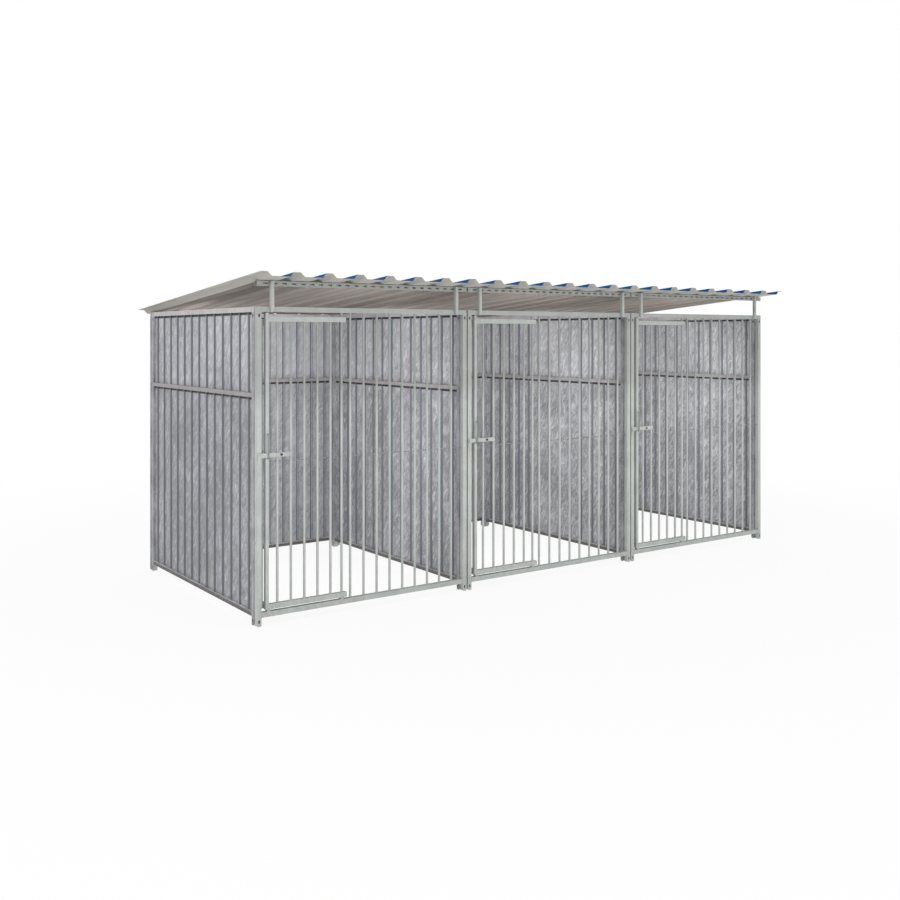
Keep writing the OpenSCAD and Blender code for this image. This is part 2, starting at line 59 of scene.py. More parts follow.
class KennelSizes(bpy.types.PropertyGroup):
    """Sizes of the kennel that the finishes and the welds follow"""

    bar_radius: bpy.props.FloatProperty(
        name="Bar radius",
        description="Radius of the round bars",
        default=0.0075,
        unit="LENGTH",
    )
    fixed_first: bpy.props.FloatProperty(
        name="First fixed bar",
        description="Distance from the hinge bar to the first fixed bar",
        default=0.060,
        unit="LENGTH",
    )
    fixed_pitch: bpy.props.FloatProperty(
        name="Fixed pitch",
        description="Pitch of the fixed bars",
        default=0.094,
        unit="LENGTH",
    )
    fixed_count: bpy.props.IntProperty(
        name="Fixed bars",
        description="Number of fixed bars in a bay",
        default=9,
        min=1,
        subtype="UNSIGNED",
    )
    door_reach: bpy.props.FloatProperty(
        name="Door reach",
        description="Distance from the first door bar to the hinge bar",
        default=0.426,
        unit="LENGTH",
    )
    door_pitch: bpy.props.FloatProperty(
        name="Door pitch",
        description="Pitch of the door bars",
        default=0.0875,
        unit="LENGTH",
    )
    door_count: bpy.props.IntProperty(
        name="Door bars",
        description="Number of bars in a door",
        default=5,
        min=1,
        subtype="UNSIGNED",
    )
    tube: bpy.props.FloatProperty(
        name="Frame tube",
        description="Side of the square frame tubes",
        default=0.030,
        unit="LENGTH",
    )
    stile: bpy.props.FloatProperty(
        name="Door stile",
        description="Width of the doors' stiles",
        default=0.020,
        unit="LENGTH",
    )
    foot: bpy.props.FloatProperty(
        name="Foot height",
        description="Height of the bottom rails above the ground",
        default=0.050,
        unit="LENGTH",
    )
    middle: bpy.props.FloatProperty(
        name="Middle rail",
        description="Height of the underside of the walls' middle rails",
        default=1.316,
        unit="LENGTH",
    )
    middle_tube: bpy.props.FloatProperty(
        name="Middle tube",
        description="Height of the tube of the walls' middle rails",
        default=0.025,
        unit="LENGTH",
    )
    tie: bpy.props.FloatProperty(
        name="Tie rods",
        description="Height of the tie rods through the bars",
        default=0.942,
        unit="LENGTH",
    )
    rib_pitch: bpy.props.FloatProperty(
        name="Rib pitch",
        description="Pitch of the roof's ribs",
        default=0.207,
        unit="LENGTH",
    )
    rib_reach: bpy.props.FloatProperty(
        name="Rib reach",
        description="Distance from the middle of a roof rib to its foot",
        default=0.046,
        unit="LENGTH",
    )
    bead: bpy.props.FloatProperty(
        name="Weld bead",
        description="Radius of a weld bead",
        default=0.0018,
        unit="LENGTH",
    )


class KennelColours(bpy.types.PropertyGroup):
    """Colours of the finishes"""

    zinc_pale: bpy.props.FloatVectorProperty(
        name="Pale zinc",
        description="Bright patches of the zinc on the front panels",
        subtype="COLOR",
        default=(0.515, 0.54, 0.52),
    )
    zinc_dull: bpy.props.FloatVectorProperty(
        name="Dull zinc",
        description="Dull patches of the zinc on the front panels",
        subtype="COLOR",
        default=(0.415, 0.44, 0.42),
    )
    rail_pale: bpy.props.FloatVectorProperty(
        name="Pale wall rail",
        description="Bright patches of the wall frames",
        subtype="COLOR",
        default=(0.60, 0.57, 0.575),
    )
    rail_dull: bpy.props.FloatVectorProperty(
        name="Dull wall rail",
        description="Dull patches of the wall frames",
        subtype="COLOR",
        default=(0.44, 0.41, 0.415),
    )
    sheet_pale: bpy.props.FloatVectorProperty(
        name="Pale sheet",
        description="Bright streaks of the wall sheets",
        subtype="COLOR",
        default=(0.47, 0.47, 0.495),
    )
    sheet_dull: bpy.props.FloatVectorProperty(
        name="Dull sheet",
        description="Ground colour of the wall sheets",
        subtype="COLOR",
        default=(0.235, 0.235, 0.25),
    )
    sheet_bright: bpy.props.FloatVectorProperty(
        name="Bright sheet",
        description="Bright strokes on the wall sheets",
        subtype="COLOR",
        default=(0.68, 0.68, 0.71),
    )
    # Painted shade on the wall sheets' rib flanks and ribs
    sheet_rib_shade: bpy.props.FloatVectorProperty(
        name="Sheet flank",
        description="Dusty flanks of the wall sheets' ribs",
        subtype="COLOR",
        default=(0.13, 0.14, 0.165),
    )
    # Near-black painted shade under the walls' rails and beside the roof's ribs, also mottled into
    # the brown along the bottom rails
    shade_black: bpy.props.FloatVectorProperty(
        name="Grime",
        description="Dark dirt under the walls' rails and beside the roof's ribs",
        subtype="COLOR",
        default=(0.012, 0.012, 0.013),
    )
    # Darker brown on the upright faces along the walls' bottom rails
    bottom_brown: bpy.props.FloatVectorProperty(
        name="Soil",
        description="Brown dirt along the walls' bottom rails",
        subtype="COLOR",
        default=(0.17, 0.145, 0.125),
    )
    roof_top: bpy.props.FloatVectorProperty(
        name="Roof top",
        description="Coating on the upper side of the roof",
        subtype="COLOR",
        default=(0.0, 0.09, 0.285),
    )
    roof_under: bpy.props.FloatVectorProperty(
        name="Roof underside",
        description="Primer on the underside of the roof",
        subtype="COLOR",
        default=(0.49, 0.475, 0.435),
    )
    # Painted shade on the roof's underside behind the beam and inside the outer ribs
    roof_shade: bpy.props.FloatVectorProperty(
        name="Roof dust",
        description="Brown dust on the sheltered underside of the roof",
        subtype="COLOR",
        default=(0.155, 0.136, 0.12),
    )
    # Painted light: a paler shade on the roof underside's rib flanks that face left
    roof_lit_flank: bpy.props.FloatVectorProperty(
        name="Roof flank",
        description="Paler dust on the flanks of the roof's ribs",
        subtype="COLOR",
        default=(0.21, 0.187, 0.166),
    )
    bolt_pale: bpy.props.FloatVectorProperty(
        name="Pale bolt",
        description="Bright specks of the bolts and the roof screws",
        subtype="COLOR",
        default=(0.65, 0.65, 0.64),
    )
    bolt_dull: bpy.props.FloatVectorProperty(
        name="Dull bolt",
        description="Dull specks of the bolts and the roof screws",
        subtype="COLOR",
        default=(0.45, 0.45, 0.44),
    )
    dark_steel: bpy.props.FloatVectorProperty(
        name="Dark steel",
        description="Blackened pivot bolts",
        subtype="COLOR",
        default=(0.03, 0.03, 0.032),
    )
    plug_black: bpy.props.FloatVectorProperty(
        name="Plug black",
        description="Plastic of the end plugs",
        subtype="COLOR",
        default=(0.015, 0.015, 0.016),
    )


class KennelView(bpy.types.PropertyGroup):
    """Camera of the stage"""

    lens: bpy.props.FloatProperty(
        name="Lens",
        description="Focal length in millimetres",
        default=41.28,
        unit="CAMERA",
    )
    place: bpy.props.FloatVectorProperty(
        name="Camera place",
        description="Place of the camera",
        subtype="TRANSLATION",
        unit="LENGTH",
        default=(-4.753, -6.336, 1.671),
    )
    turn: bpy.props.FloatProperty(
        name="Camera turn",
        description="Turn of the camera to the right",
        subtype="ANGLE",
        default=math.radians(35.24),
    )
    shift: bpy.props.FloatProperty(
        name="Camera shift",
        description="Share of the picture that the view is shifted up",
        default=-0.1267,
        soft_min=-1.0,
        soft_max=1.0,
        subtype="FACTOR",
    )


def sizes():
    return bpy.context.scene.kennel_sizes


def colours():
    return bpy.context.scene.kennel_colours


def dimmed(colour, share):
    """The colour at a share of its brightness"""
    return tuple(share * part for part in colour)


# Shader maths


class Value:
    """A shader socket that takes part in Python sums"""

    def __init__(self, shader, socket):
        self.shader = shader
        self.socket = socket

    def maths(self, operation, *terms):
        settings = {"operation": operation}
        return self.shader.node("ShaderNodeMath", settings, dict(enumerate(terms)))

    def __add__(self, other):
        return self.maths("ADD", self, other)

    def __sub__(self, other):
        return self.maths("SUBTRACT", self, other)

    def __rsub__(self, other):
        return self.maths("SUBTRACT", other, self)

    def __mul__(self, other):
        return self.maths("MULTIPLY", self, other)

    def __gt__(self, other):
        return self.maths("GREATER_THAN", self, other)

    def __abs__(self):
        return self.maths("ABSOLUTE", self)

    __radd__ = __add__
    __rmul__ = __mul__

    def to_and_fro(self, reach):
        """Runs from 0 to the reach and back again"""
        return self.maths("PINGPONG", self, reach)


class Shader:
    """The nodes of a material or of the world"""

    def __init__(self, owner, end_kind):
        self.owner = owner
        self.end_kind = end_kind
        owner.use_nodes = True
        self.tree = owner.node_tree
        self.tree.nodes.clear()

    def node(self, kind, settings=None, values=None, output=0):
        made = self.tree.nodes.new(kind)
        for name, setting in (settings or {}).items():
            setattr(made, name, setting)
        for key, value in (values or {}).items():
            if isinstance(value, Value):
                self.tree.links.new(value.socket, made.inputs[key])
            else:
                made.inputs[key].default_value = value
        return Value(self, made.outputs[output]) if made.outputs else None

    def ramp(self, value, low, high):
        """0 below the low value, 1 above the high one and smooth between them"""
        settings = {"interpolation_type": "SMOOTHSTEP", "clamp": True}
        values = {"Value": value, "From Min": low, "From Max": high}
        return self.node("ShaderNodeMapRange", settings, values)

    def edge(self, value, start, reaches):
        """A ramp between two distances from a start"""
        return self.ramp(value, *(start + reach for reach in reaches))

    def end(self, surface):
        self.node(self.end_kind, None, {"Surface": surface})
        return self.owner


class Finish(Shader):
    """A material that is put together from nodes"""

    def __init__(self, name):
        super().__init__(bpy.data.materials.new(name), "ShaderNodeOutputMaterial")
        self.here = self.node("ShaderNodeTexCoord", output="Object")

    def parts(self, vector):
        values = {"Vector": vector}
        return [self.node("ShaderNodeSeparateXYZ", None, values, output=axis) for axis in "XYZ"]

    def facing(self):
        return self.parts(self.node("ShaderNodeNewGeometry", output="True Normal"))

    def stretched(self, scale):
        return self.node("ShaderNodeMapping", None, {"Vector": self.here, "Scale": scale})

    def noise(self, scale, detail=4.0, rough=0.55, at=None, bend=0.0):
        values = {
            "Vector": at or self.here,
            "Scale": scale,
            "Detail": detail,
            "Roughness": rough,
            "Distortion": bend,
        }
        return self.node("ShaderNodeTexNoise", None, values)

    def specks(self, scale, detail=3.0):
        return self.ramp(self.noise(scale, detail), 0.3, 0.7)

    def crystals(self, scale):
        values = {"Vector": self.here, "Scale": scale}
        cells = self.node("ShaderNodeTexVoronoi", None, values, output="Color")
        return self.node("ShaderNodeSeparateColor", None, {"Color": cells}, output="Red")

    def mix(self, share, first, second):
        settings = {"data_type": "RGBA", "blend_type": "MIX"}
        ends = [c if isinstance(c, Value) else (*c, 1.0) for c in (first, second)]
        return self.node("ShaderNodeMix", settings, {0: share, 6: ends[0], 7: ends[1]}, output=2)

    def coat(self, tone, dull, pale, share):
        """From a dull to a pale colour, both at a share of their brightness"""
        return self.mix(tone, dimmed(dull, share), dimmed(pale, share))

    def bump(self, height, strength, distance=0.0008):
        values = {"Strength": strength, "Distance": distance, "Height": height}
        return self.node("ShaderNodeBump", None, values, output="Normal")

    def surface(self, colour, rough, metal, normal=None, shine=0.5):
        values = {
            "Base Color": colour,
            "Roughness": rough,
            "Metallic": metal,
            "Specular IOR Level": shine,
        }
        if normal:
            values["Normal"] = normal
        return self.end(self.node("ShaderNodeBsdfPrincipled", None, values, output="BSDF"))


# Finishes

# Distances in metres between which a finish changes
ROD_EDGE = (0.0031, 0.0036)  # from the middle of a tie rod
# Painted shade of the roof's overhang on the front, above this edge
UPPER_SHADE_EDGE = (-0.12, 0.08)  # from the middle rails, up the front
BOTTOM_BROWN_EDGE = (0.018, 0.028)  # from the underside of a bottom rail
LIFT_EDGE = (0.0, 0.1)  # from the middle rails, up the wall sheets
# Painted shade: a near-black band under each rail above a wall sheet, between these distances
SHADE_EDGE = (-0.016, -0.009)  # from the rail above a wall sheet
RIB_EDGE = (0.007, 0.012)  # from a wall's face to its flat sheet
# Painted shade: a dark line on the roof's flats beside each rib's foot, between these distances
RIB_SHADE_START = (0.0, 0.004)  # from the foot of a roof rib
RIB_SHADE_END = (0.006, 0.016)
# Painted shade on the roof's underside starts at these distances
ROOF_SHADE_FRONT = (-0.03, 0.03)  # from the roof beam
ROOF_SHADE_SIDE = (0.0, 0.02)  # from the roof's outer ribs

RAGGED = 0.006  # reach of the specks along a rail's shade
MARGIN = 0.001  # reach of a top rail's finish below the rail

# Shares of a coat's brightness, and of the cover of the bottom rails' brown and of the painted
# shade beside the roof's ribs
ROD_SHARE = 0.6
MIDDLE_RAIL_SHARE = 0.64
BOTTOM_BROWN_SHARE = 0.9
RIB_SHADE_SHARE = 0.5
WORN_STEEL = 2.4
WORN_PLUG = 1.8

# Looks of the wall sheets: how much paler they are above the middle rails, the range of their
# tone, and how strongly their bright strokes and the painted shade of their ribs show. The back
# sheets are a paler, calmer copy, painted light for the light that the back walls lack
SIDE_SHEETS = {"lift": 0.07, "range": (0.42, 0.60), "strokes": 0.7, "ribs": 0.65}
BACK_SHEETS = {"lift": 0.12, "range": (0.33, 0.62), "strokes": 0.45, "ribs": 0.3}


def zinc_tone(finish):
    """Patches, runs and crystals of a hot-dip zinc coat, from 0 to 1"""
    patches = finish.noise(scale=7.0, detail=5.0)
    runs = finish.noise(scale=1.0, at=finish.stretched((34.0, 34.0, 3.0)))
    crystals = finish.crystals(scale=85.0)
    return finish.ramp(patches * 0.55 + runs * 0.35 + crystals * 0.1, 0.34, 0.64)


def zinc_grain(finish):
    """Fine grain of a zinc coat, as a normal"""
    return finish.bump(finish.noise(scale=160.0, detail=3.0), strength=0.12)


def front_zinc(name, lower_share, upper_shade_share, rods=False):
    """Coat at one share of the zinc's brightness below the walls' middle rails and one above,
    where a lower share above is painted shade of the roof's overhang
    """
    finish = Finish(name)
    size = sizes()
    _, y, z = finish.parts(finish.here)
    tone = zinc_tone(finish)
    lower, shaded_upper = (
        finish.coat(tone, colours().zinc_dull, colours().zinc_pale, share)
        for share in (lower_share, upper_shade_share)
    )
    colour = finish.mix(finish.edge(z, size.middle, UPPER_SHADE_EDGE), lower, shaded_upper)
    if rods:
        level = 1.0 - finish.ramp(abs(z - size.tie), *ROD_EDGE)
        inside = 1.0 - finish.ramp(abs(y - HINGES["door_1"][Y]), *ROD_EDGE)
        colour = finish.mix(level * inside, colour, dimmed(colours().zinc_dull, ROD_SHARE))
    return finish.surface(colour, 0.36 + tone * 0.22, metal=0.25, normal=zinc_grain(finish))


def run_axis(panel):
    """Axis that a panel runs along"""
    return Y if panel.startswith(("side", "partition")) else X


def wall_rail_zinc(panel):
    """Coat of a wall frame, darker brown on the upright faces along its bottom rail"""
    finish = Finish(f"{panel}_zinc")
    size = sizes()
    low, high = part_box(panel)
    place = finish.parts(finish.here)
    z = place[Z]
    tone = zinc_tone(finish)
    top_rail, middle_rail = (
        finish.coat(tone, colours().rail_dull, colours().rail_pale, share)
        for share in (1.0, MIDDLE_RAIL_SHARE)
    )
    stile = finish.mix(tone, colours().sheet_dull, colours().sheet_pale)
    on_middle = (z > size.middle) * (1.0 - (z > size.middle + size.middle_tube))
    on_top = z > high[Z] - size.tube - MARGIN
    coat = finish.mix(on_top, finish.mix(on_middle, stile, middle_rail), top_rail)
    axis = run_axis(panel)
    half = (high[axis] - low[axis]) / 2
    between = 1.0 - (abs(place[axis] - (low[axis] + half)) > half - size.tube)
    # Darker brown, mottled with the near-black of the painted shade, on the upright faces along
    # the bottom rail between the end stiles; the top faces keep the coat
    on_bottom = (z > size.foot) * (1.0 - finish.edge(z, size.foot, BOTTOM_BROWN_EDGE))
    upright = 1.0 - finish.ramp(finish.facing()[Z], 0.3, 0.7)
    bottom_brown = finish.mix(finish.noise(scale=40.0, detail=5.0), colours().shade_black, colours().bottom_brown)
    colour = finish.mix(on_bottom * between * upright * BOTTOM_BROWN_SHARE, coat, bottom_brown)
    return finish.surface(colour, 0.40 + tone * 0.22, metal=0.2, normal=zinc_grain(finish))


def wall_sheet_zinc(name, axis, face, look):
    """Coat of the sheets whose frame's face lies at the given place on the axis"""
    finish = Finish(name)
    size = sizes()
    place = finish.parts(finish.here)
    facing = finish.facing()
    z = place[Z]
    along = place[X] - place[Y]
    slanted = finish.node("ShaderNodeCombineXYZ", None, {"X": along - z * 0.35, "Y": z * 0.4})
    strokes = finish.noise(scale=42.0, rough=0.6, at=slanted, bend=0.9)
    clouds = finish.noise(scale=3.0)
    specks = finish.noise(scale=75.0, rough=0.6)
    lift = finish.edge(z, size.middle, LIFT_EDGE) * look["lift"]
    blend = strokes * 0.5 + clouds * 0.25 + specks * 0.25 + lift
    tone = finish.ramp(blend, *look["range"])
    coat = finish.mix(tone, colours().sheet_dull, colours().sheet_pale)
    bright = finish.ramp(strokes + clouds * 0.2 + lift, 0.68, 0.84)
    coat = finish.mix(bright * look["strokes"], coat, colours().sheet_bright)
    # Painted shade on the ribs' flanks and, by the look's share, on the rib faces nearest the
    # frame's face
    flank = finish.ramp(abs(facing[X] * facing[Y]), 0.15, 0.4)
    flat = finish.ramp(place[axis] - face, *RIB_EDGE)
    rib = finish.ramp(flank * 0.9 + (1.0 - flat) * look["ribs"], 0.0, 1.0)
    coat = finish.mix(rib, coat, colours().sheet_rib_shade)
    # Painted shade: a ragged near-black band under the top and middle rails, stronger on the
    # recessed flats than on the ribs
    ragged = z + specks * RAGGED
    under_top = finish.edge(ragged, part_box("back_sheets_1")[1][Z], SHADE_EDGE)
    under_middle = finish.edge(ragged, size.middle, SHADE_EDGE) * (1.0 - (z > size.middle))
    shade = finish.ramp(under_top + under_middle, 0.0, 1.0) * (0.35 + flat * 0.6)
    colour = finish.mix(shade, coat, colours().shade_black)
    normal = finish.bump(specks, strength=0.12)
    return finish.surface(colour, 0.42 + tone * 0.2, metal=0.15, normal=normal)


def roof_coat():
    """Coating above and primer below, with painted shade where the underside lies behind the beam
    and inside the outer ribs, paler on flanks that face left, and a dark painted shade line beside
    each rib's foot
    """
    finish = Finish("roof_coat")
    size = sizes()
    facing = finish.facing()
    x, y, _ = finish.parts(finish.here)
    fade = finish.noise(scale=3.0, detail=5.0)
    top = finish.mix(fade, dimmed(colours().roof_top, 0.85), colours().roof_top)
    runs = finish.noise(scale=1.0, detail=5.0, at=finish.stretched((18.0, 1.2, 18.0)))
    primer_tone = finish.ramp(runs, 0.35, 0.7)
    primer = finish.mix(primer_tone, dimmed(colours().roof_under, 0.9), colours().roof_under)
    # Painted shade: a dark line on the underside's flats just beside each rib's foot
    apart = x.to_and_fro(size.rib_pitch / 2)
    start = finish.edge(apart, size.rib_reach, RIB_SHADE_START)
    darkening = start * (1.0 - finish.edge(apart, size.rib_reach, RIB_SHADE_END))
    flat_shade = finish.mix(darkening * RIB_SHADE_SHARE, colours().roof_shade, colours().shade_black)
    # Painted light: within the painted shade, rib flanks that face left are paler
    left_flank = finish.ramp(0.0 - facing[X], 0.3, 0.6)
    under_shade = finish.mix(left_flank, flat_shade, colours().roof_lit_flank)
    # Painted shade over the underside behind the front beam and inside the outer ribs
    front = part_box("roof_beam_1")[1][Y]
    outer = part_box("roof_sheet_3")[1][X] - 2.0 * size.rib_reach
    inner = 1.0 - finish.edge(abs(x), outer, ROOF_SHADE_SIDE)
    shaded = finish.edge(y, front, ROOF_SHADE_FRONT) * inner
    underside = finish.mix(shaded * (0.75 + runs * 0.35), primer, under_shade)
    colour = finish.mix(facing[Z] > 0.0, underside, top)
    normal = finish.bump(finish.noise(scale=90.0, detail=2.0), strength=0.05)
    return finish.surface(colour, 0.45 + fade * 0.15, metal=0.0, normal=normal, shine=0.03)


def bolt_zinc():
    finish = Finish("bolt_zinc")
    tone = finish.specks(scale=220.0)
    colour = finish.mix(tone, colours().bolt_dull, colours().bolt_pale)
    return finish.surface(colour, 0.28 + tone * 0.15, metal=0.6)


def dark_steel():
    finish = Finish("dark_steel")
    tone = finish.specks(scale=260.0)
    colour = finish.mix(tone, colours().dark_steel, dimmed(colours().dark_steel, WORN_STEEL))
    return finish.surface(colour, 0.4 + tone * 0.2, metal=0.5)


def plug_plastic():
    finish = Finish("plug_plastic")
    grain = finish.noise(scale=500.0, detail=2.0)
    colour = finish.mix(grain, colours().plug_black, dimmed(colours().plug_black, WORN_PLUG))
    normal = finish.bump(grain, strength=0.2, distance=0.0004)
    return finish.surface(colour, 0.5 + grain * 0.15, metal=0.0, normal=normal)


def weld_zinc():
    finish = Finish("weld_zinc")
    tone = finish.specks(scale=90.0, detail=4.0)
    colour = finish.mix(tone, dimmed(colours().zinc_dull, 0.8), colours().zinc_pale)
    ripple = finish.noise(scale=400.0, detail=2.0)
    normal = finish.bump(ripple, strength=0.3, distance=0.0006)
    return finish.surface(colour, 0.45 + tone * 0.2, metal=0.25, normal=normal)


def dress(material, *starts):
    """Gives a finish to each frame node whose name starts with one of the given words"""
    for name, node in frame["nodes"].items():
        if name.startswith(starts):
            node.data.materials.clear()
            node.data.materials.append(material)


class KENNEL_OT_front_finish(bpy.types.Operator):
    """Zinc coat of the front panels, the doors, the latches and the roof's supports"""

    bl_idname = "kennel.front_finish"
    bl_label = "Front Finish"

    def execute(self, context):
        # The lower share above the middle rails on the front frames, doors and bars is painted
        # shade of the roof's overhang
        dress(front_zinc("front_zinc", 1.0, 0.79), "front_frame", "door_stop")
        door_coat = front_zinc("door_zinc", 1.0, 0.89)
        dress(door_coat, "door_frame", "door_rests", "latch_bar", "latch_catch", "roof_posts")
        bar_coat = front_zinc("bar_zinc", 1.0, 0.7, rods=True)
        dress(bar_coat, "front_grille", "door_grille", "hinge_bar")
        # The latch guides are darker all over, painted shade; the roof beams are a duller zinc,
        # darkened further by painted shade of the roof's eave
        dress(front_zinc("guide_zinc", 0.55, 0.55), "latch_guide")
        dress(front_zinc("beam_zinc", 0.72, 0.72), "roof_beam")
        return {"FINISHED"}


class KENNEL_OT_wall_finish(bpy.types.Operator):
    """Zinc coat of the wall frames and of the ribbed wall sheets"""

    bl_idname = "kennel.wall_finish"
    bl_label = "Wall Finish"

    def execute(self, context):
        for name in frame["nodes"]:
            if name.startswith(("back_frame", "side_frame", "partition_frame")):
                dress(wall_rail_zinc(name), name)
        for kind, which in SIDE_WALLS:
            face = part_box(f"{kind}_frame_{which}")[0][X]
            coat = wall_sheet_zinc(f"{kind}_{which}_zinc", X, face, SIDE_SHEETS)
            dress(coat, f"{kind}_sheets_{which}")
        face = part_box("back_frame_1")[0][Y]
        dress(wall_sheet_zinc("back_zinc", Y, face, BACK_SHEETS), "back_sheets")
        return {"FINISHED"}


class KENNEL_OT_roof_finish(bpy.types.Operator):
    """Blue coating and grey underside of the roof sheets"""

    bl_idname = "kennel.roof_finish"
    bl_label = "Roof Finish"

    def execute(self, context):
        dress(roof_coat(), "roof_sheet")
        return {"FINISHED"}


class KENNEL_OT_small_finish(bpy.types.Operator):
    """Finishes of the bolts, the roof screws, the latch pivots and the end plugs"""

    bl_idname = "kennel.small_finish"
    bl_label = "Small Parts Finish"

    def execute(self, context):
        dress(bolt_zinc(), "panel_bolts", "roof_screws")
        dress(dark_steel(), "latch_pivot")
        dress(plug_plastic(), "door_plugs")
        return {"FINISHED"}


# Welds

FLAT = (0.0, 0.0, 0.0)
ALONG_X = (0.0, math.pi / 2, 0.0)
ALONG_Y = (math.pi / 2, 0.0, 0.0)
SAME = (1.0, 1.0, 1.0)
ROUND_SIDES = 14
SQUARE_SIDES = 4
BEAD_SIDES = 5
RIPPLE = 0.22
ROUND_SEED = 3
SQUARE_SEED = 5

# Share of a bead's radius that it stands off a round bar
STAND_OFF = 0.3

# Share of the tube at which a door's beads clear the rest below the door
DOOR_BEAD_SHARE = 0.8


def bead_ring(name, radius, sides, seed):
    """One rippled bead, lying flat round the origin"""
    bead = sizes().bead
    bpy.ops.object.select_all(action="DESELECT")
    bpy.ops.mesh.primitive_torus_add(
        major_radius=radius,
        minor_radius=bead,
        major_segments=sides,
        minor_segments=BEAD_SIDES,
    )
    ring = bpy.context.object
    ring.name = name
    bpy.ops.object.mode_set(mode="EDIT")
    bpy.ops.mesh.select_all(action="SELECT")
    if sides == SQUARE_SIDES:
        bpy.ops.transform.rotate(
            value=math.pi / 4, orient_axis="Z", center_override=(0.0, 0.0, 0.0)
        )
        bpy.ops.mesh.subdivide(number_cuts=1)
    bpy.ops.transform.vertex_random(offset=bead * RIPPLE, seed=seed, wait_for_input=False)
    bpy.ops.object.mode_set(mode="OBJECT")
    bpy.ops.object.shade_smooth()
    return ring


def lay_beads(name, body, ring, places, material):
    """Copies a bead to each place, a location, a turn and a scale, and joins the copies"""
    bpy.ops.object.select_all(action="DESELECT")
    for place, turn, scale in places:
        bead = ring.copy()
        bead.data = ring.data.copy()
        bead.location = place
        bead.rotation_euler = turn
        bead.scale = scale
        bpy.context.collection.objects.link(bead)
        bead.select_set(True)
        bpy.context.view_layer.objects.active = bead
    bpy.ops.object.transform_apply(location=True, rotation=True, scale=True)
    bpy.ops.object.join()
    welds = bpy.context.object
    welds.name = name
    welds.data.materials.clear()
    welds.data.materials.append(material)
    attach(welds, body)


def remove(piece):
    bpy.data.objects.remove(piece, do_unlink=True)


def hinge_places(bay):
    """Places of the beads at the ends of a hinge bar, the lower one round its collar"""
    x, y, _ = HINGES[f"door_{bay}"]
    low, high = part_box(f"hinge_bar_{bay}")
    wide = (high[X] - low[X]) / (2.0 * sizes().bar_radius)
    return [((x, y, high[Z]), FLAT, SAME), ((x, y, low[Z]), FLAT, (wide, wide, 1.0))]


def frame_places(panel, rails):
    """Places of the beads at the ends of a panel's rails, each a height and a share of the tube"""
    tube = sizes().tube
    low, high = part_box(panel)
    axis = run_axis(panel)
    places = []
    for z, share in rails:
        for end in (low[axis] + tube, high[axis] - tube):
            if axis == Y:
                places.append((((low[X] + high[X]) / 2, end, z), ALONG_Y, (1.0, share, 1.0)))
            else:
                places.append(((end, (low[Y] + high[Y]) / 2, z), ALONG_X, (share, 1.0, 1.0)))
    return places


def door_places(bay):
    """Places of the beads where a door's rails meet its stile"""
    size = sizes()
    low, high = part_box(f"door_frame_{bay}")
    bars_low, bars_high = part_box(f"door_grille_{bay}")
    x, y = low[X] + size.stile, (low[Y] + high[Y]) / 2
    scale = (DOOR_BEAD_SHARE, (high[Y] - low[Y]) / size.tube, 1.0)
    rails = (bars_low[Z] - size.tube / 2, bars_high[Z] + size.tube / 2)
    return [((x, y, z), ALONG_X, scale) for z in rails]


def post_places(bay):
    """Places of the beads where a bay's roof posts lap the top rail and the beam"""
    size = sizes()
    low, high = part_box(f"roof_posts_{bay}")
    wide = high[Y] - low[Y]
    share = wide / size.tube
    return [
        ((x, high[Y], z), ALONG_Y, (share, 1.0, 1.0))
        for x in (low[X] + wide / 2, high[X] - wide / 2)
        for z in (low[Z] + size.tube / 2, high[Z] - size.tube / 2)
    ]


class KENNEL_OT_bar_welds(bpy.types.Operator):
    """Weld beads round the ends of the fixed bars, the door bars and the hinge bars"""

    bl_idname = "kennel.bar_welds"
    bl_label = "Bar Welds"

    def execute(self, context):
        size = sizes()
        material = weld_zinc()
        radius = size.bar_radius + STAND_OFF * size.bead
        ring = bead_ring("bar_bead", radius, ROUND_SIDES, ROUND_SEED)
        for bay in BAYS:
            hinge_x, y, _ = HINGES[f"door_{bay}"]
            first = hinge_x + size.fixed_first
            fixed = [first + i * size.fixed_pitch for i in range(size.fixed_count)]
            first = hinge_x - size.door_reach
            door = [first + i * size.door_pitch for i in range(size.door_count)]
            for group, body, xs in (("front", "kennel", fixed), ("door", f"door_{bay}", door)):
                low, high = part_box(f"{group}_grille_{bay}")
                places = [((x, y, z), FLAT, SAME) for x in xs for z in (low[Z], high[Z])]
                lay_beads(f"{group}_bar_welds_{bay}", body, ring, places, material)
            lay_beads(f"hinge_welds_{bay}", "kennel", ring, hinge_places(bay), material)
        remove(ring)
        return {"FINISHED"}


class KENNEL_OT_rail_welds(bpy.types.Operator):
    """Weld beads round the ends of the rails and where the roof posts lap the frame"""

    bl_idname = "kennel.rail_welds"
    bl_label = "Rail Welds"

    def execute(self, context):
        size = sizes()
        material = weld_zinc()
        ring = bead_ring("rail_bead", size.tube / math.sqrt(2.0), SQUARE_SIDES, SQUARE_SEED)
        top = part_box("back_frame_1")[1][Z]
        ends = [(size.foot + size.tube / 2, 1.0), (top - size.tube / 2, 1.0)]
        middle = [(size.middle + size.middle_tube / 2, size.middle_tube / size.tube)]
        for kind, which in SIDE_WALLS:
            places = frame_places(f"{kind}_frame_{which}", ends + middle)
            lay_beads(f"{kind}_welds_{which}", "kennel", ring, places, material)
        for bay in BAYS:
            front = frame_places(f"front_frame_{bay}", ends)
            back = frame_places(f"back_frame_{bay}", ends + middle)
            lay_beads(f"front_welds_{bay}", "kennel", ring, front, material)
            lay_beads(f"back_welds_{bay}", "kennel", ring, back, material)
            lay_beads(f"door_welds_{bay}", f"door_{bay}", ring, door_places(bay), material)
            lay_beads(f"roof_post_welds_{bay}", "kennel", ring, post_places(bay), material)
        remove(ring)
        return {"FINISHED"}


# Stage

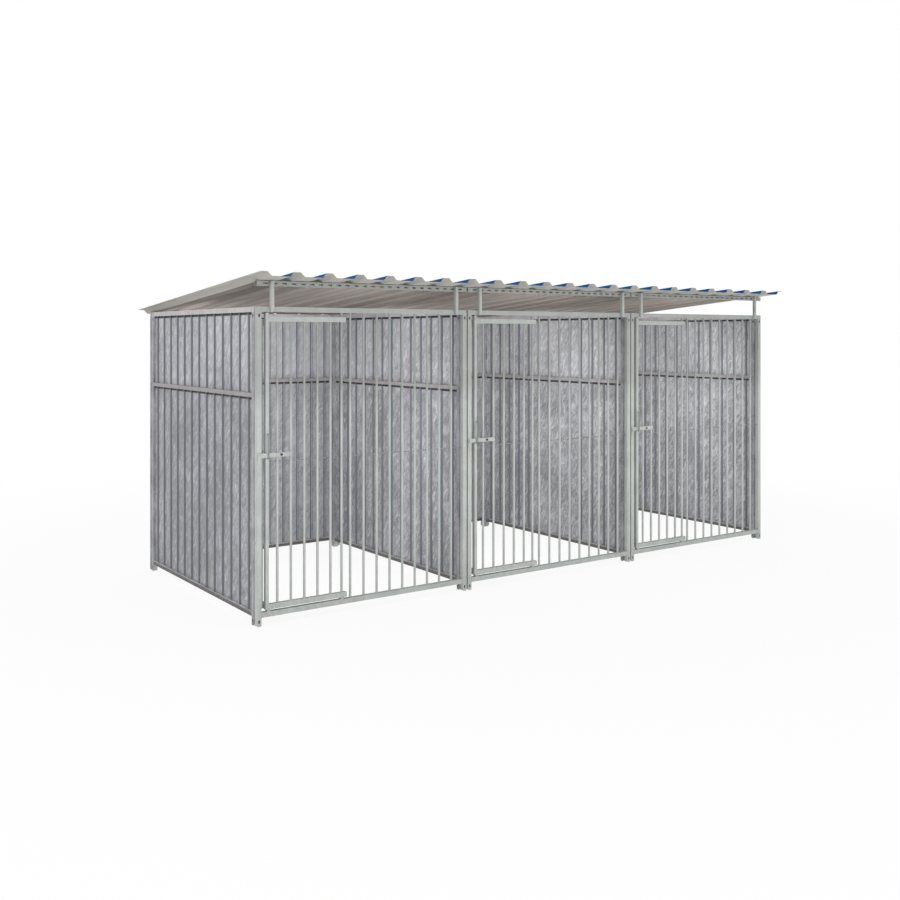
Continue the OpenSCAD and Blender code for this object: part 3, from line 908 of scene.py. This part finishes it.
WHITE = (1.0, 1.0, 1.0, 1.0)
FLOOR_SIZE = 120.0
FLOOR_DULL = (0.88, 0.88, 0.88)
FLOOR_PALE = (0.90, 0.90, 0.90)

# Share of the floor that is seen as white near the kennel, and where it becomes all white
FLOOR_WHITE = 0.9
FLOOR_FADE = (3.0, 6.5)

# Strength of the sky as a light, and power of the lamps in watts
SKY_LIGHT = 0.85
KEY_LIGHT = 150.0
FRONT_LIGHT = 30.0
GROUND_LIGHT = 60.0
BAY_LIGHT = 14.5
WALL_LIGHT = 8.5

# Places, turns and sizes of the lamps in metres
LAMP_AIM = (0.0, 0.0, 0.8)
KEY_PLACE = (-8.0, -5.0, 6.0)
KEY_WIDTH = 4.0
FRONT_PLACE = (1.0, -9.0, 2.0)
FRONT_WIDTH = 5.0
GROUND_PLACE = (-0.3, -3.0, 0.03)
GROUND_SIZE = (6.0, 3.0)
BAY_LAMP_HEIGHT = 1.15
BAY_LAMP_GAP = 0.02
BAY_LAMP_SIZE = (0.7, 1.3)
WALL_LAMP_GAP = 0.045
WALL_LAMP_DEPTH = 0.62
WALL_LAMP_SIZE = (1.3, 0.55)
SHINE_UP = (math.pi, 0.0, 0.0)
SHINE_BACK = (math.pi / 2, 0.0, 0.0)
SHINE_RIGHT = (0.0, -math.pi / 2, 0.0)

SENSOR = 36.0


def soft_lamp(name, place, width, power):
    """A round lamp that is aimed at the kennel"""
    bpy.ops.object.light_add(type="AREA", location=place)
    lamp = bpy.context.object
    lamp.name = name
    lamp.data.shape = "DISK"
    lamp.data.size = width
    lamp.data.energy = power
    x, y, z = (aim - start for aim, start in zip(LAMP_AIM, place))
    lamp.rotation_euler = (math.atan2(math.hypot(x, y), -z), 0.0, math.atan2(-x, y))


def sheet_lamp(name, place, turn, size, power):
    """A sheet of soft light that isn't seen itself"""
    bpy.ops.object.light_add(type="AREA", location=place, rotation=turn)
    lamp = bpy.context.object
    lamp.name = name
    lamp.data.shape = "RECTANGLE"
    lamp.data.size, lamp.data.size_y = size
    lamp.data.energy = power
    lamp.visible_camera = False
    lamp.visible_glossy = False


def bay_lamps(bay):
    """Sheets of light that fill a bay as daylight does, from its front and from its left"""
    low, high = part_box(f"front_frame_{bay}")
    front = ((low[X] + high[X]) / 2, high[Y] + BAY_LAMP_GAP, BAY_LAMP_HEIGHT)
    sheet_lamp(f"bay_lamp_{bay}", front, SHINE_BACK, BAY_LAMP_SIZE, BAY_LIGHT)
    left = (low[X] + WALL_LAMP_GAP, WALL_LAMP_DEPTH, BAY_LAMP_HEIGHT)
    sheet_lamp(f"wall_lamp_{bay}", left, SHINE_RIGHT, WALL_LAMP_SIZE, WALL_LIGHT)


def seen_rays(shader):
    """1 for the rays that show the background in the picture and in reflections"""
    kinds = ("Is Camera Ray", "Is Glossy Ray", "Is Transmission Ray")
    camera, glossy, clear = (shader.node("ShaderNodeLightPath", output=kind) for kind in kinds)
    return shader.ramp(camera + glossy + clear, 0.0, 1.0)


def pale_sky():
    sky = Shader(bpy.data.worlds.new("pale_sky"), "ShaderNodeOutputWorld")
    strength = SKY_LIGHT + seen_rays(sky) * (1.0 - SKY_LIGHT)
    values = {"Color": WHITE, "Strength": strength}
    return sky.end(sky.node("ShaderNodeBackground", None, values))


def pale_floor():
    finish = Finish("pale_floor")
    colour = finish.mix(finish.noise(scale=3.0, detail=2.0), FLOOR_DULL, FLOOR_PALE)
    matt = finish.node("ShaderNodeBsdfDiffuse", None, {"Color": colour})
    white = finish.node("ShaderNodeEmission", None, {"Color": WHITE, "Strength": 1.0})
    settings = {"operation": "LENGTH"}
    away = finish.node("ShaderNodeVectorMath", settings, {0: finish.here}, output="Value")
    far = finish.ramp(away, *FLOOR_FADE)
    share = seen_rays(finish) * (FLOOR_WHITE + far * (1.0 - FLOOR_WHITE))
    return finish.end(finish.node("ShaderNodeMixShader", None, {0: share, 1: matt, 2: white}))


class KENNEL_OT_stage(bpy.types.Operator):
    """Pale floor, soft light and the camera"""

    bl_idname = "kennel.stage"
    bl_label = "Stage"

    def execute(self, context):
        scene = context.scene
        bpy.ops.object.select_all(action="DESELECT")
        bpy.ops.mesh.primitive_plane_add(size=FLOOR_SIZE, location=(0.0, 0.0, 0.0))
        floor = context.object
        floor.name = "floor"
        floor.data.materials.append(pale_floor())

        scene.world = pale_sky()
        soft_lamp("key_lamp", KEY_PLACE, KEY_WIDTH, KEY_LIGHT)
        soft_lamp("front_lamp", FRONT_PLACE, FRONT_WIDTH, FRONT_LIGHT)
        sheet_lamp("ground_lamp", GROUND_PLACE, SHINE_UP, GROUND_SIZE, GROUND_LIGHT)
        for bay in BAYS:
            bay_lamps(bay)

        view = scene.kennel_view
        bpy.ops.object.camera_add(location=view.place, rotation=(math.pi / 2, 0.0, -view.turn))
        camera = context.object
        camera.name = "camera"
        camera.data.lens = view.lens
        camera.data.sensor_width = SENSOR
        camera.data.shift_y = view.shift
        camera.data.dof.use_dof = False
        scene.camera = camera
        scene.view_settings.view_transform = "Standard"
        return {"FINISHED"}


OPERATORS = (
    KENNEL_OT_front_finish,
    KENNEL_OT_wall_finish,
    KENNEL_OT_roof_finish,
    KENNEL_OT_small_finish,
    KENNEL_OT_bar_welds,
    KENNEL_OT_rail_welds,
    KENNEL_OT_stage,
)


class KENNEL_PT_panel(bpy.types.Panel):
    """Lists the steps that dress the kennel"""

    bl_idname = "KENNEL_PT_panel"
    bl_label = "Dog Kennel Run"
    bl_space_type = "VIEW_3D"
    bl_region_type = "UI"
    bl_category = "Kennel"

    def draw(self, context):
        for operator in OPERATORS:
            self.layout.operator(operator.bl_idname)


GROUPS = {
    "kennel_sizes": KennelSizes,
    "kennel_colours": KennelColours,
    "kennel_view": KennelView,
}


def register():
    for group in (*GROUPS.values(), *OPERATORS, KENNEL_PT_panel):
        bpy.utils.register_class(group)
    for name, group in GROUPS.items():
        setattr(bpy.types.Scene, name, bpy.props.PointerProperty(type=group))


def unregister():
    for name in GROUPS:
        delattr(bpy.types.Scene, name)
    for group in (KENNEL_PT_panel, *reversed(OPERATORS), *reversed(list(GROUPS.values()))):
        bpy.utils.unregister_class(group)


def main():
    register()
    bpy.ops.kennel.front_finish()
    bpy.ops.kennel.wall_finish()
    bpy.ops.kennel.roof_finish()
    bpy.ops.kennel.small_finish()
    bpy.ops.kennel.bar_welds()
    bpy.ops.kennel.rail_welds()
    bpy.ops.kennel.stage()


if __name__ == "__main__":
    main()
